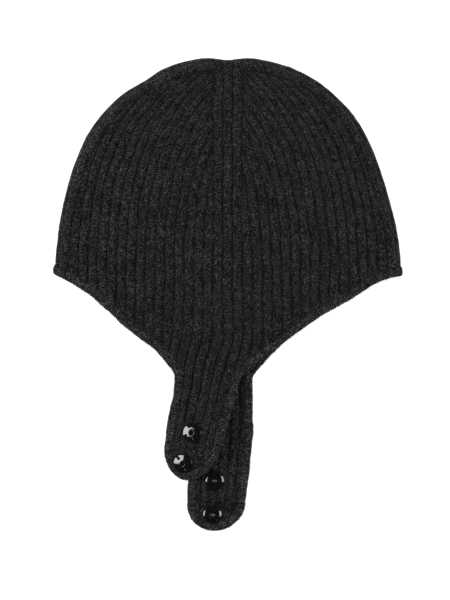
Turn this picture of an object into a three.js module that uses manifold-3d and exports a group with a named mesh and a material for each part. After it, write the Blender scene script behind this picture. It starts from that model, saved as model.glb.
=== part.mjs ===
// A rib-knitted aviator cap lying flat on its side: crown, two ear flaps that run on into chin straps,
// a narrow knitted edging linked round the whole rim, and four sew-on press studs.
// Millimetres. +Y points to the top of the crown, +X to the right, +Z up from the surface it lies on.
// The cloth is drawn first as a flat pattern, one for the upper side and one for the under side,
// and each point of the pattern is then laid in space. Both sides meet on the fold at the cap's outline.
import * as THREE from "three";
import Module from "manifold-3d";
import { mergeVertices } from "three/addons/utils/BufferGeometryUtils.js";

// The knitted cloth
const wall = 2.6; // thickness of the cloth
const ribRelief = 0.5; // how far ribs and furrows leave the cloth's middle
const ribPitch = 6.3; // one rib with the furrow beside it
const bandRibs = 3; // ribs in each straight band: on both ears, at the forehead and at the nape
const panelRibs = 15; // ribs in each of the four panels between the bands
const panelRibsToEar = 8; // of those, the ribs that end against the ear band, and the rest against the fold

// The crown
const crownHeight = 140.5; // from the rim's corners to the top, in the flat pattern
const crownSquareness = 2.25; // exponent of the outline: 2 is an ellipse
const ribLean = 2.9; // how late the ribs lean in towards the top
const rollRadius = 4; // middle of the cloth where it folds over at the outline
const loft = 17; // how far the upper side stands up in the middle of the crown
const loftReach = 75; // distance from the fold over which it rises
const loftAtRim = 0.25; // share of the loft that is left at the open rim
const seamDip = 0.25; // furrow beside each band, where the panel's ribs end
const gatherDepth = 2; // notch where everything is drawn together at the top
const gatherWidth = 7;

// Ear flaps and chin straps
const rimCorner = 2.5; // height of the rim where the two sides meet
const flapDrop = 64.5; // from there down to the strap
const rootDrop = 7; // fillet where the rim turns down into the strap
const rootReach = 9;
const flapTop = -15; // height where a flap starts to drift sideways
const strapRibs = 5;
const upperStrapEnd = -134.5;
const underStrapEnd = -168.4;
const upperDrift = -24.6; // how far each strap's end lies to the side
const underDrift = -8.6;
const tipSkew = 0.13; // slope of the upper strap's end
const tipLength = 1.3; // of its rounding, as a share of the strap's half width there
const strapFall = 0.335; // slope of the upper strap where it comes down beside the under one
const archReach = 12; // length over which it levels off above the under one
const levelling = 1.5; // height over which it levels off above the surface

// The edging
const edgeWidth = 5;
const edgeFlare = 0.45; // how far it turns out at the two corners of the rim
const seat = 0.3; // gap between pieces that touch

// The press studs
const studRadius = 6.4;
const edgeRoll = 0.45; // radius of the flange's rolled edge
const socketEdge = 0.95; // height of the socket's dome at its edge
const socketHeight = 1.9; // and in the middle
const socketFloor = 0.45; // thickness left below the socket's mouth
const flangeEdge = 0.6; // height of the ball stud's flange at its edge
const flangeHeight = 1.25; // and where it meets the flat boss in its middle
const bossRadius = 3.1;
const ballRadius = 1.45;
const ballHeight = 2.7;
const mouthClearance = 0.15; // between the ball and the socket's mouth
const sewHoleRadius = 0.85;
const sewHoleCircle = 4.5;
const studSides = 16;

// Rows of the mesh
const strapRows = 7;
const bodyRows = 9;
const rowFade = 4; // a rib ends over this length, against its band
const foldSpacing = 9; // longest step along the fold band
const probe = 0.05; // step of the numeric slopes

const halfPitch = ribPitch / 2;
const envelope = wall + 2 * ribRelief;
const bandHalf = bandRibs * halfPitch;
const halfWidth = panelRibs * ribPitch + 2 * bandHalf;
const strapHalf = strapRibs * halfPitch;
const rollLength = (rollRadius * Math.PI) / 2;
const stack = envelope + 2 * seat + ribRelief; // height of one layer of cloth above another

const { smoothstep, lerp } = THREE.MathUtils;

// Each side of the cap. drift and width run evenly from the flap's top to the strap's end:
// drift is a share of the whole drift, width a share of the ribs' own width.
const upper = {
  side: 1,
  end: upperStrapEnd,
  skew: tipSkew,
  tip: tipLength,
  drift: upperDrift,
  rimPower: { left: 1.02, right: 1.33 },
  strap: [
    { drift: 0.0, width: 1.0 },
    { drift: 0.18, width: 1.03 },
    { drift: 0.462, width: 1.06 },
    { drift: 0.655, width: 0.955 },
    { drift: 0.886, width: 0.86 },
    { drift: 1.0, width: 0.76 },
  ],
};
const under = {
  side: -1,
  end: underStrapEnd,
  skew: 0,
  tip: 1,
  drift: underDrift,
  rimPower: { left: 1.15, right: 1.49 },
  strap: [
    { drift: 0.0, width: 1.0 },
    { drift: 0.35, width: 1.03 },
    { drift: 0.53, width: 1.0 },
    { drift: 0.51, width: 0.97 },
    { drift: 0.69, width: 0.92 },
    { drift: 1.0, width: 0.8 },
  ],
};

// How far the outline leaves its even curve, from the rim to the top, as shares of the half width.
const outline = [
  { left: 0.011, right: 0.016 },
  { left: 0.002, right: 0.004 },
  { left: -0.005, right: -0.016 },
  { left: -0.005, right: -0.022 },
  { left: 0, right: -0.012 },
  { left: -0.018, right: -0.008 },
  { left: 0, right: 0 },
];

// How far the rim leaves its even curve, from the fold in to the strap, as shares of the flap's drop.
const rimSway = [
  { left: 0.005, right: -0.027 },
  { left: 0.022, right: 0.002 },
  { left: -0.004, right: -0.014 },
  { left: -0.024, right: 0.012 },
  { left: 0.002, right: -0.008 },
  { left: 0, right: 0 },
];

// Where a crease draws the outline's left shoulder in: height, reach along it, and share of the width.
const crease = { up: 126.5, reach: 7, depth: 0.065 };

// Soft dents of the upper side: place and radius as shares of the crown's half width, depth of the loft.
const dents = [
  { across: -0.52, up: 0.92, radius: 0.3, depth: 0.16 },
  { across: 0.38, up: 0.8, radius: 0.32, depth: 0.1 },
  { across: -0.3, up: 0.1, radius: 0.4, depth: 0.1 },
  { across: 0.42, up: -0.05, radius: 0.34, depth: 0.12 },
];

// Value of a column of an evenly spaced table, smoothly, at a share of its length.
function along(table, column, share) {
  const at = THREE.MathUtils.clamp(share, 0, 1) * (table.length - 1);
  const row = Math.min(Math.floor(at), table.length - 2);
  const value = (k) => table[THREE.MathUtils.clamp(k, 0, table.length - 1)][column];
  const [a, b, c, d] = [value(row - 1), value(row), value(row + 1), value(row + 2)];
  const t = at - row;
  const bend = (2 * a - 5 * b + 4 * c - d) * t + (3 * b - a - 3 * c + d) * t * t;
  return b + (t * (c - a + bend)) / 2;
}

// The place between low and high where a function changes sign.
function crossing(f, low, high) {
  const sign = Math.sign(f(low));
  for (let i = 0; i < 60; i++) {
    const middle = (low + high) / 2;
    if (Math.sign(f(middle)) === sign) low = middle;
    else high = middle;
  }
  return (low + high) / 2;
}

// How far a point of the pattern lies inside the fold, and the way out to it.
function fold(x, y) {
  const power = crownSquareness;
  const u = Math.max(Math.abs(x) / halfWidth, 1e-6);
  const v = Math.max(y, 0) / crownHeight;
  const rho = (u ** power + v ** power) ** (1 / power);
  const slopeX = (u / rho) ** (power - 1) / halfWidth;
  const slopeY = (v / rho) ** (power - 1) / crownHeight;
  const slope = Math.hypot(slopeX, slopeY);
  return { inside: (1 - rho) / slope, outX: (Math.sign(x) * slopeX) / slope, outY: slopeY / slope };
}

// Half width of the panels at a height, where they meet the fold band, and the height where they end.
const panelEdge = (y) => crossing((x) => fold(x, y).inside - bandHalf, 0, halfWidth);
const panelTop = crossing((y) => fold(bandHalf, y).inside - bandHalf, 0, crownHeight);
const leanScale = (panelRibsToEar * ribPitch) / (panelTop / crownHeight) ** ribLean;
const lean = (y) => leanScale * (Math.max(y, 0) / crownHeight) ** ribLean;

// Where the flap and strap of one side lie: the middle line, and the width beside its ribs' own.
const strapShare = (layer, y) => (flapTop - y) / (flapTop - layer.end);
const drift = (layer, y) => layer.drift * along(layer.strap, "drift", strapShare(layer, y));
const widen = (layer, y) => along(layer.strap, "width", strapShare(layer, y));

// Height of the cloth's lower end on one rib line: the rim, or the strap's rounded end.
function rim(layer, x) {
  const power = x < 0 ? layer.rimPower.left : layer.rimPower.right;
  const share = Math.max(halfWidth - Math.abs(x), 0) / (halfWidth - strapHalf);
  const fillet = rootDrop * Math.exp((strapHalf - Math.abs(x)) / rootReach);
  const sway = along(rimSway, x < 0 ? "left" : "right", share);
  return rimCorner - flapDrop * (share ** power - sway) - fillet;
}
const strapRoot = rim(upper, strapHalf);
function strapTip(layer, x) {
  const across = x / strapHalf;
  const length = strapHalf * widen(layer, layer.end) * layer.tip;
  return layer.end + length * (1 - Math.sqrt(1 - 0.97 * across * across)) + layer.skew * x;
}

// How high the upper strap lies: it arches over the under one, and falls to the surface on its left.
function lying(x, y) {
  const past = drift(under, y) - strapHalf * widen(under, y) - edgeWidth - x;
  const fall = past > 0 ? past : -archReach * (1 - Math.exp(past / archReach));
  const free = 1 - smoothstep(y, strapRoot - strapHalf, strapRoot + halfPitch);
  const height = stack - fall * strapFall * free;
  return levelling * Math.log(1 + Math.exp(height / levelling));
}

// Height of the upper side over the under side, away from the fold.
function rise(inside, x, y) {
  const overRim = smoothstep(y - rim(upper, x), 0, loftReach);
  let puff = loft * Math.sin((Math.min(inside / loftReach, 1) * Math.PI) / 2) ** 1.4;
  puff *= lerp(loftAtRim, 1, overRim);
  for (const dent of dents) {
    const across = (x - dent.across * halfWidth) / (dent.radius * halfWidth);
    const up = (y - dent.up * halfWidth) / (dent.radius * halfWidth);
    puff -= loft * dent.depth * Math.exp(-across * across - up * up) * Math.min(inside / loftReach, 1);
  }
  return puff;
}

// A point of the pattern, laid in space: the middle of the cloth.
function lay(layer, x, y) {
  const { inside, outX, outY } = fold(x, y);
  const turn = Math.min(inside / rollRadius, Math.PI / 2);
  const inward = inside < rollLength ? inside - rollLength + rollRadius * Math.cos(turn) : 0;
  const towardsTop = smoothstep(y, 0.6 * crownHeight, crownHeight);
  const gather = gatherDepth * Math.exp(-((x / gatherWidth) ** 2)) * towardsTop;
  const plan = new THREE.Vector2(x + outX * inward, y + outY * inward - gather);
  let z = envelope / 2 + rollRadius + layer.side * rollRadius * Math.sin(turn);
  plan.x *= 1 + along(outline, x < 0 ? "left" : "right", y / crownHeight);
  if (x < 0) plan.x *= 1 - crease.depth * Math.exp(-(((y - crease.up) / crease.reach) ** 2));
  if (y < flapTop) plan.x = plan.x * widen(layer, y) + drift(layer, y);
  if (layer === upper) {
    const open = smoothstep(y, strapRoot, flapTop + halfPitch);
    z = lerp(envelope / 2 + lying(plan.x, y), z + rise(Math.max(inside, 0), x, y), open);
  }
  return new THREE.Vector3(plan.x, plan.y, z);
}

// The cloth's outward normal at a point of the pattern.
function normal(layer, x, y) {
  const across = lay(layer, x + probe, y).sub(lay(layer, x - probe, y));
  const up = lay(layer, x, y + probe).sub(lay(layer, x, y - probe));
  return across.cross(up).multiplyScalar(layer.side).normalize();
}

// Points of the pattern, kept once each, and the faces between them.
const points = [];
function point(layer, x, y, relief) {
  points.push({ layer, x, y, relief });
  return points.length - 1;
}
const faces = [];
function weave(columns, turned, between = []) {
  for (let i = 0; i + 1 < columns.length; i++)
    for (let j = 0; j + 1 < columns[i].length; j++) {
      const extra = j + 2 === columns[i].length ? (between[i] ?? []) : [];
      const round = [columns[i + 1][j], columns[i + 1][j + 1], ...extra, columns[i][j + 1]];
      faces.push([columns[i][j], ...(turned ? round.reverse() : round)]);
    }
}

// Ribs stand out on odd half pitches from a furrow, and a band's own edge is the deepest furrow.
const furrow = -1;
const ridge = 1;
const seam = -1 - seamDip / ribRelief;
const reliefOf = (steps) => (steps % 2 ? ridge : furrow);

// Rows of a column between two heights, the upper end left out, and those of a rib that ends there.
const span = (from, to, rows) => Array.from({ length: rows }, (_, i) => lerp(from, to, i / rows));
const ribSpan = (from, to, rows) => [...span(from, to - rowFade, rows - 1), to - rowFade];

const panelSteps = 2 * panelRibs;
const earSteps = 2 * panelRibsToEar;
const strapSteps = strapRibs - bandRibs; // steps of the panel that run on down the strap

// Height at which a panel's rib line ends, counted in half pitches from the ear band.
function lineEnd(step) {
  if (step === 0) return 0.6 * lineEnd(1);
  if (step === panelSteps) return 0.8 * lineEnd(panelSteps - 1);
  if (step <= earSteps) return crownHeight * ((step * halfPitch) / leanScale) ** (1 / ribLean);
  const gap = (y) => panelEdge(y) - (bandHalf + step * halfPitch - lean(y));
  return crossing(gap, 0.2 * crownHeight, panelTop);
}
const lineEnds = Array.from({ length: panelSteps + 1 }, (_, step) => lineEnd(step));

// Points on the fold are shared by both sides, so they are kept by name.
const foldPoints = new Map();
function foldPoint(key, x, y) {
  if (!foldPoints.has(key)) foldPoints.set(key, point(upper, x, y, ridge));
  return foldPoints.get(key);
}

// The point outside a place of the panel's edge that lies a given distance inside the fold.
function outward(x, y, inside) {
  const { outX, outY } = fold(x, y);
  const gap = (s) => fold(x + outX * s, y + outY * s).inside - inside;
  const s = crossing(gap, 0, 2 * bandHalf);
  return [x + outX * s, y + outY * s];
}

const bandSteps = [2, 1, 0]; // half pitches inside the fold, out from the panel's edge

// One quarter of the cap: a panel with the half of the fold band beside it.
function quarter(layer, hand) {
  const turned = layer.side * hand < 0;
  const onEdge = (y) => (y > 0 ? panelEdge(y) : halfWidth - bandHalf);
  const lineX = (step, y) => (step === panelSteps ? onEdge(y) : bandHalf + step * halfPitch - lean(y));
  const lines = [];
  for (let step = 0; step <= panelSteps; step++) {
    const x0 = bandHalf + step * halfPitch;
    const onStrap = step <= strapSteps;
    const start = onStrap ? strapRoot : rim(layer, hand * x0);
    const relief = step === 0 || step === panelSteps ? seam : reliefOf(step);
    const heights = ribSpan(start, lineEnds[step], bodyRows);
    const ids = heights.map((y) => point(layer, hand * (step === 0 ? x0 : lineX(step, y)), y, relief));
    const endX = step <= earSteps ? bandHalf : panelEdge(lineEnds[step]);
    ids.push(point(layer, hand * endX, lineEnds[step], seam));
    const strapHeights = onStrap ? span(strapTip(layer, hand * x0), strapRoot, strapRows) : [];
    const strap = strapHeights.map((y) => point(layer, hand * x0, y, reliefOf(step)));
    lines.push({ strap, ids });
  }

  // Points on the panel's outer edge between the ends of two ribs, from the outer one to the inner one.
  const between = lines.map((line, step) => {
    if (step < earSteps || step >= panelSteps - 1) return [];
    const [low, high] = [lineEnds[step + 1], lineEnds[step]];
    const count = Math.round(Math.hypot(high - low, panelEdge(high) - panelEdge(low)) / foldSpacing);
    const heights = span(low, high, Math.max(count, 1)).slice(1);
    return heights.map((y) => point(layer, hand * panelEdge(y), y, seam));
  });
  weave(lines.map((line) => line.ids), turned, between);
  weave(lines.slice(0, strapSteps + 1).map((line) => [...line.strap, line.ids[0]]), turned);

  // The fold band, row by row up the panel's outer edge to the top of the ear band.
  const side = layer.side * hand < 0 ? "left" : "right";
  const edge = [...lines[panelSteps].ids];
  for (let step = panelSteps - 1; step >= earSteps; step--)
    edge.push(...between[step], lines[step].ids.at(-1));
  const [shoulderX, shoulderY] = [points[edge[bodyRows]].x, points[edge[bodyRows]].y];
  const rows = edge.map((inner, row) => {
    const { x, y } = points[inner];
    const outer = bandSteps.map((steps) => {
      const inside = steps * halfPitch;
      let place;
      if (row === edge.length - 1) place = [x, crossing((v) => fold(x, v).inside - inside, y, crownHeight)];
      else if (row >= bodyRows) place = outward(x, y, inside);
      else {
        const low = rim(layer, hand * (halfWidth - inside));
        const height = lerp(low, outward(shoulderX, shoulderY, inside)[1], row / bodyRows);
        place = [hand * crossing((u) => fold(u, height).inside - inside, 0, 2 * halfWidth), height];
      }
      return steps ? point(layer, ...place, reliefOf(steps + 1)) : foldPoint(`${hand} ${row}`, ...place);
    });
    return [inner, ...outer];
  });
  weave(bandSteps.concat(0).map((_, k) => rows.map((row) => row[k])), turned);

  // The ear band's own edge: strap, panel, ends of the panel's lines, then across the fold band.
  const ends = lines.slice(1, earSteps + 1).map((line) => line.ids.at(-1));
  const bandEdge = [...lines[0].strap, ...lines[0].ids, ...ends, ...rows.at(-1).slice(1)];
  const panelRim = lines.slice(strapSteps + 1).reverse().map((line) => line.ids[0]);
  const rimIds = [...rows[0].slice(1).reverse(), ...panelRim];
  const strapSide = [lines[strapSteps].ids[0], ...lines[strapSteps].strap.slice().reverse()];
  const tip = lines.slice(0, strapSteps).reverse().map((line) => line.strap[0]);
  return { bandEdge, rim: [...rimIds, ...strapSide, ...tip] };
}

// The straight band over one ear, from the strap's end to the fold at the top.
function earBand(layer, left, right) {
  const columns = [left.bandEdge];
  const rows = left.bandEdge.length;
  for (let step = 1 - bandRibs; step < bandRibs; step++) {
    const x = step * halfPitch;
    const relief = reliefOf(step + bandRibs);
    const ids = left.bandEdge.map((id, row) => {
      const fromTop = rows - 1 - row;
      let y = points[id].y;
      if (row < strapRows) y = lerp(strapTip(layer, x), strapRoot, row / strapRows);
      if (fromTop <= bandRibs) y = crossing((v) => fold(x, v).inside - fromTop * halfPitch, 0, crownHeight);
      return fromTop ? point(layer, x, y, relief) : foldPoint(`top ${step}`, x, y);
    });
    columns.push(ids);
  }
  columns.push(right.bandEdge);
  weave(columns, layer.side < 0);
  return columns.slice(1, -1).map((ids) => ids[0]);
}

// All four quarters, and the open rim as one closed path: down the left of a side and up its right.
function rimOf(layer) {
  const left = quarter(layer, -1);
  const right = quarter(layer, 1);
  const tip = earBand(layer, left, right);
  return [...left.rim, left.bandEdge[0], ...tip, right.bandEdge[0], ...right.rim.reverse()];
}
const upperRim = rimOf(upper);
const underRim = rimOf(under);
const rimPath = [...upperRim, ...underRim.reverse().slice(1, -1)];

// The cap's two faces are set off from the cloth's middle, and joined along the rim.
function geometryOf(vertices, triangles) {
  const geometry = new THREE.BufferGeometry();
  const positions = vertices.flatMap((v) => v.toArray());
  geometry.setAttribute("position", new THREE.Float32BufferAttribute(positions, 3));
  geometry.setIndex(triangles.flat());
  geometry.computeVertexNormals();
  return geometry;
}
for (const p of points) {
  p.middle = lay(p.layer, p.x, p.y);
  p.normal = normal(p.layer, p.x, p.y);
}
const setOff = (p, by) => p.middle.clone().addScaledVector(p.normal, by);
function capGeometry() {
  const outer = points.map((p) => setOff(p, wall / 2 + ribRelief * p.relief));
  const inner = points.map((p) => setOff(p, -wall / 2 + ribRelief * Math.max(p.relief, furrow)));
  const inside = (id) => id + points.length;
  const triangles = [];
  for (const [a, ...round] of faces)
    for (let k = 0; k + 1 < round.length; k++) {
      const [b, c] = [round[k], round[k + 1]];
      triangles.push([a, b, c], [inside(c), inside(b), inside(a)]);
    }
  rimPath.forEach((a, k) => {
    const b = rimPath[(k + 1) % rimPath.length];
    triangles.push([b, a, inside(a)], [b, inside(a), inside(b)]);
  });
  return geometryOf([...outer, ...inner], triangles);
}

// The edging: a flat knitted strip swept along the rim, just outside the cloth's end.
function edgingGeometry() {
  const half = envelope / 2;
  const bevel = half / 2;
  const section = [
    { out: 0, up: -half },
    { out: 0, up: half },
    { out: edgeWidth - bevel, up: half },
    { out: edgeWidth, up: half - bevel },
    { out: edgeWidth, up: -half + bevel },
    { out: edgeWidth - bevel, up: -half },
  ];
  const count = rimPath.length;
  const at = (k) => points[rimPath[(k + count) % count]];
  const ways = rimPath.map((id, k) => {
    const here = at(k);
    const way = at(k + 1).middle.clone().sub(here.middle).normalize();
    way.add(here.middle.clone().sub(at(k - 1).middle).normalize());
    const out = here.normal.clone().cross(way).normalize().multiplyScalar(-1);
    const { inside, outX, outY } = fold(here.x, here.y);
    const flare = edgeFlare * smoothstep(-inside, -bandHalf, 0);
    return out.add(new THREE.Vector3(outX * flare, outY * flare, 0));
  });
  const vertices = [];
  rimPath.forEach((id, k) => {
    for (const { out, up } of section) {
      const here = setOff(at(k), up);
      vertices.push(here.addScaledVector(ways[k], out + seat));
    }
  });
  const triangles = [];
  for (let k = 0; k < count; k++)
    for (let s = 0; s < section.length; s++) {
      const next = (s + 1) % section.length;
      const [a, b] = [k * section.length + s, k * section.length + next];
      const [c, d] = [((k + 1) % count) * section.length + next, ((k + 1) % count) * section.length + s];
      triangles.push([a, b, c], [a, c, d]);
    }
  return geometryOf(vertices, triangles);
}

const wasm = await Module();
wasm.setup();

function solid(geometry) {
  const bare = geometry.clone().deleteAttribute("normal").deleteAttribute("uv");
  const merged = mergeVertices(bare, 1e-4);
  const vertProperties = merged.attributes.position.array;
  const triVerts = new Uint32Array(merged.index.array);
  return new wasm.Manifold(new wasm.Mesh({ numProp: 3, vertProperties, triVerts }));
}
function geometryFrom(manifold) {
  const mesh = manifold.getMesh();
  const geometry = new THREE.BufferGeometry();
  geometry.setAttribute("position", new THREE.BufferAttribute(mesh.vertProperties, 3));
  geometry.setIndex(new THREE.BufferAttribute(mesh.triVerts, 1));
  geometry.computeVertexNormals();
  return geometry;
}

// Half a press stud: a flange with a rolled edge and four sewing holes, about the +Z axis.
function pressStud(edge, face) {
  const underside = [[0, 0], [studRadius - edgeRoll, 0], [studRadius, edgeRoll]];
  const profile = [...underside, [studRadius - edgeRoll / 2, edge], ...face];
  const lathe = new THREE.LatheGeometry(profile.map(([x, y]) => new THREE.Vector2(x, y)), studSides);
  let body = solid(lathe.rotateX(Math.PI / 2));
  for (let k = 0; k < 4; k++) {
    const hole = new THREE.CylinderGeometry(sewHoleRadius, sewHoleRadius, 4 * socketHeight, 6);
    const angle = ((k + 0.5) * Math.PI) / 2;
    hole.rotateX(Math.PI / 2).translate(sewHoleCircle * Math.cos(angle), sewHoleCircle * Math.sin(angle), 0);
    body = body.subtract(solid(hole));
  }
  return geometryFrom(body);
}

// The face rises towards the middle as a soft dome.
const domeAt = (radius) => lerp(socketHeight, socketEdge, (radius / studRadius) ** 2);
const pastBoss = (radius) => (radius - bossRadius) / (studRadius - bossRadius);
const flangeAt = (radius) => lerp(flangeHeight, flangeEdge, pastBoss(radius) ** 2);
const mouth = ballRadius + mouthClearance;
const socketGeometry = pressStud(socketEdge, [
  ...[0.75 * studRadius, 0.5 * studRadius, mouth].map((radius) => [radius, domeAt(radius)]),
  [mouth, socketFloor],
  [0, socketFloor],
]);
const ballGeometry = pressStud(flangeEdge, [
  ...[0.75 * studRadius, bossRadius].map((radius) => [radius, flangeAt(radius)]),
  [0.8 * ballRadius, flangeHeight],
  [ballRadius, ballHeight - 0.8 * ballRadius],
  [0.7 * ballRadius, ballHeight - 0.2 * ballRadius],
  [0, ballHeight],
]);

const wool = new THREE.MeshStandardMaterial({ color: 0x262628, roughness: 1, metalness: 0 });
const trim = new THREE.MeshStandardMaterial({ color: 0x2b2b2d, roughness: 1, metalness: 0 });
const lacquer = new THREE.MeshStandardMaterial({ color: 0x0c0c0d, roughness: 0.15, metalness: 0.6 });

const cap = new THREE.Group();
function add(name, geometry, material) {
  const mesh = new THREE.Mesh(geometry, material);
  mesh.name = name;
  cap.add(mesh);
  return mesh;
}
add("knitted_cap", capGeometry(), wool);
add("edging", edgingGeometry(), trim);

// A press stud sits on the strap, square to it. across and up are shares of the strap's half width,
// from its middle line and from its rounded end.
const studPlaces = [
  { name: "socket_high", layer: upper, geometry: socketGeometry, across: -0.108, up: 1.644 },
  { name: "socket_low", layer: upper, geometry: socketGeometry, across: -0.382, up: 0.341 },
  { name: "ball_stud_high", layer: under, geometry: ballGeometry, across: -0.163, up: 1.757 },
  { name: "ball_stud_low", layer: under, geometry: ballGeometry, across: -0.135, up: 0.327 },
];
for (const { name, layer, geometry, across, up } of studPlaces) {
  const x = across * strapHalf;
  const y = layer.end + up * strapHalf;
  const reach = studRadius / Math.SQRT2;
  // Both straps show this face: the upper one its outside, the under one its inside.
  const face = (dx, dy) => lay(layer, x + dx, y + dy);
  const tilt = face(reach, 0).sub(face(-reach, 0)).cross(face(0, reach).sub(face(0, -reach))).normalize();
  const mesh = add(name, geometry, lacquer);
  mesh.quaternion.setFromUnitVectors(new THREE.Vector3(0, 0, 1), tilt);
  const middle = face(reach, 0).add(face(-reach, 0)).add(face(0, reach)).add(face(0, -reach)).divideScalar(4);
  mesh.position.copy(middle).addScaledVector(tilt, envelope / 2 + seat);
}

// The origin is the middle of the cap's box, on the surface it lies on.
const box = new THREE.Box3().setFromObject(cap);
cap.position.set(-(box.min.x + box.max.x) / 2, -(box.min.y + box.max.y) / 2, -box.min.z);

export default cap;
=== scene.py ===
import math
import bpy
import numpy as np
from mathutils import Matrix, Vector


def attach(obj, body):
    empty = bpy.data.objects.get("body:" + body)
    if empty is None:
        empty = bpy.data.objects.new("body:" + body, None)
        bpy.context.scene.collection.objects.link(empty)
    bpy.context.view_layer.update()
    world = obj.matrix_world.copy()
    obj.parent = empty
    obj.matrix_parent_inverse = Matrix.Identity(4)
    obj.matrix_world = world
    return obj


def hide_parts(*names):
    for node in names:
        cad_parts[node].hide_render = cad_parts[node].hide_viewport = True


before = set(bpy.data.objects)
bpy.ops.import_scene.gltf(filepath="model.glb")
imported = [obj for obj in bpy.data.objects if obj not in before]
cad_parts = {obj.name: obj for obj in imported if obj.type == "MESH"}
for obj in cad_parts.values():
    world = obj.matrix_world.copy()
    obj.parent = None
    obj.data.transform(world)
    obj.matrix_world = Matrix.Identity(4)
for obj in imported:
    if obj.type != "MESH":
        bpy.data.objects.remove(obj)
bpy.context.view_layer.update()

# The knitted cap: crown, two ear flaps and two chin straps, fully fashioned in one piece from
# charcoal melange lambswool in a two-by-two rib. It lies folded flat on its side, so every point
# of the flat knitted pattern is laid in space as the upper or the under side. Sizes in millimetres.
RIB = 6.3  # one rib with the furrow beside it
BAND_RIBS = 3  # in the straight bands over both ears, the forehead and the nape
PANEL_RIBS = 15  # in each panel between two bands
EAR_RIBS = 8  # of those, the ribs that run out against the ear band
STRAP_RIBS = 5
CLOTH = 2.6  # thickness
RIDGE = 0.5  # a rib stands out of the cloth's middle by this
FURROW = 0.95  # and the furrow sinks in by this
CROWN_HEIGHT = 140.5
CROWN_SQUARENESS = 2.25
LEAN = 2.9  # how late the ribs lean in towards the top
ROLL = 4.0  # radius of the fold at the outline
LOFT = 17.0  # how far the upper side stands up
LOFT_REACH = 75.0
LOFT_AT_RIM = 0.25
LOFT_ROUND = 1.4  # above 1, the cloth rises more slowly from the fold
GATHER = 2.0  # notch at the very top
GATHER_WIDTH = 7.0
GATHER_FROM = 0.6  # of the crown's height
RIM_CORNER = 2.5
FLAP_DROP = 64.5
ROOT_DROP = 7.0
ROOT_REACH = 9.0
FLAP_TOP = -15.0
EDGING = 5.0  # width of the knitted edging
STRAP_FALL = 0.335  # slope of the upper strap, where it falls beside the under one
ARCH = 12.0  # length over which it levels off above the under one
LEVELLING = 1.5  # height over which it levels off above the surface
TIP_ROUND = 0.97  # a strap's end is this near to half an ellipse
STEADY, WANDERING = 3, 25  # ribs run true up to here inside the fold, and wander from there
FRAME_X, FRAME_Y = -0.296, 17.12  # where the pattern's origin lies in the frame

BAND = BAND_RIBS * RIB / 2
HALF_WIDTH = PANEL_RIBS * RIB + 2 * BAND
STRAP_HALF = STRAP_RIBS * RIB / 2
THICK = CLOTH + 2 * RIDGE
STACK = THICK + 1.1  # one layer of cloth above another
UPPER, UNDER = 1, -1
side_of = {
    UPPER: dict(
        end=-134.5, tip=1.3, slant=0.13, drift=-24.6, rim=(1.02, 1.33),
        drifts=(0.0, 0.18, 0.462, 0.655, 0.886, 1.0),
        widths=(1.0, 1.03, 1.06, 0.955, 0.86, 0.76),
    ),
    UNDER: dict(
        end=-168.4, tip=1.0, slant=0.0, drift=-8.6, rim=(1.15, 1.49),
        drifts=(0.0, 0.35, 0.53, 0.51, 0.69, 1.0),
        widths=(1.0, 1.03, 1.0, 0.97, 0.92, 0.8),
    ),
}
outline_left = (0.011, 0.002, -0.005, -0.005, 0.0, -0.018, 0.0)
outline_right = (0.016, 0.004, -0.016, -0.022, -0.012, -0.008, 0.0)
# how far the rim sways from its even curve, from the fold in to the strap, as shares of the flap's drop
sway_left = (0.005, 0.022, -0.004, -0.024, 0.002, 0.0)
sway_right = (-0.027, 0.002, -0.014, 0.012, -0.008, 0.0)
crease = dict(up=126.5, reach=7.0, depth=0.065)  # draws the left shoulder in
# across, up and radius as shares of the half width, and depth as a share of the loft
dents = (
    (-0.52, 0.92, 0.30, 0.16),
    (0.38, 0.80, 0.32, 0.10),
    (-0.30, 0.10, 0.40, 0.10),
    (0.42, -0.05, 0.34, 0.12),
)
# soft waves of the cloth: length in millimetres, turn, and height
waves = ((46, 0.4, 0.35), (31, 2.0, 0.25), (23, 4.1, 0.18), (17, 5.2, 0.12))
WAVES_UP = 0.7  # for each wave across
# no rib is quite straight: how far each wave moves it, its length up, its lean and its turn
rib_waves = ((0.3, 8.5, 0.11, 0.0), (0.22, 3.9, -0.19, 1.3), (0.14, 2.1, 0.31, 4.0))


def smooth(value, low, high):
    share = np.clip((value - low) / (high - low), 0, 1)
    return share * share * (3 - 2 * share)


def lerp(a, b, share):
    return a + (b - a) * share


def along(row_values, share):
    """A smooth curve through evenly spaced values."""
    table = np.array(row_values)
    at = np.clip(share, 0, 1) * (len(table) - 1)
    row = np.minimum(at.astype(int), len(table) - 2)
    a, b, c, d = (table[np.clip(row + k, 0, len(table) - 1)] for k in (-1, 0, 1, 2))
    t = at - row
    return b + t * (c - a + (2 * a - 5 * b + 4 * c - d) * t + (3 * b - a - 3 * c + d) * t * t) / 2


def crossing(gap, low, high):
    """Where gap changes sign between low and high."""
    low, high = (v.copy() for v in np.broadcast_arrays(np.asarray(low, float), np.asarray(high, float)))
    sign = np.sign(gap(low))
    for _ in range(48):
        middle = (low + high) / 2
        same = np.sign(gap(middle)) == sign
        low, high = np.where(same, middle, low), np.where(same, high, middle)
    return (low + high) / 2


def fold(x, y):
    """How far a point lies inside the fold, and the way out to it."""
    n = CROWN_SQUARENESS
    u = np.maximum(np.abs(x) / HALF_WIDTH, 1e-6)
    v = np.maximum(y, 0) / CROWN_HEIGHT
    rho = (u**n + v**n) ** (1 / n)
    slope_x = (u / rho) ** (n - 1) / HALF_WIDTH
    slope_y = (v / rho) ** (n - 1) / CROWN_HEIGHT
    slope = np.hypot(slope_x, slope_y)
    return (1 - rho) / slope, np.sign(x) * slope_x / slope, slope_y / slope


def panel_edge(y):
    return crossing(lambda x: fold(x, y)[0] - BAND, np.zeros_like(y), HALF_WIDTH)


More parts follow.
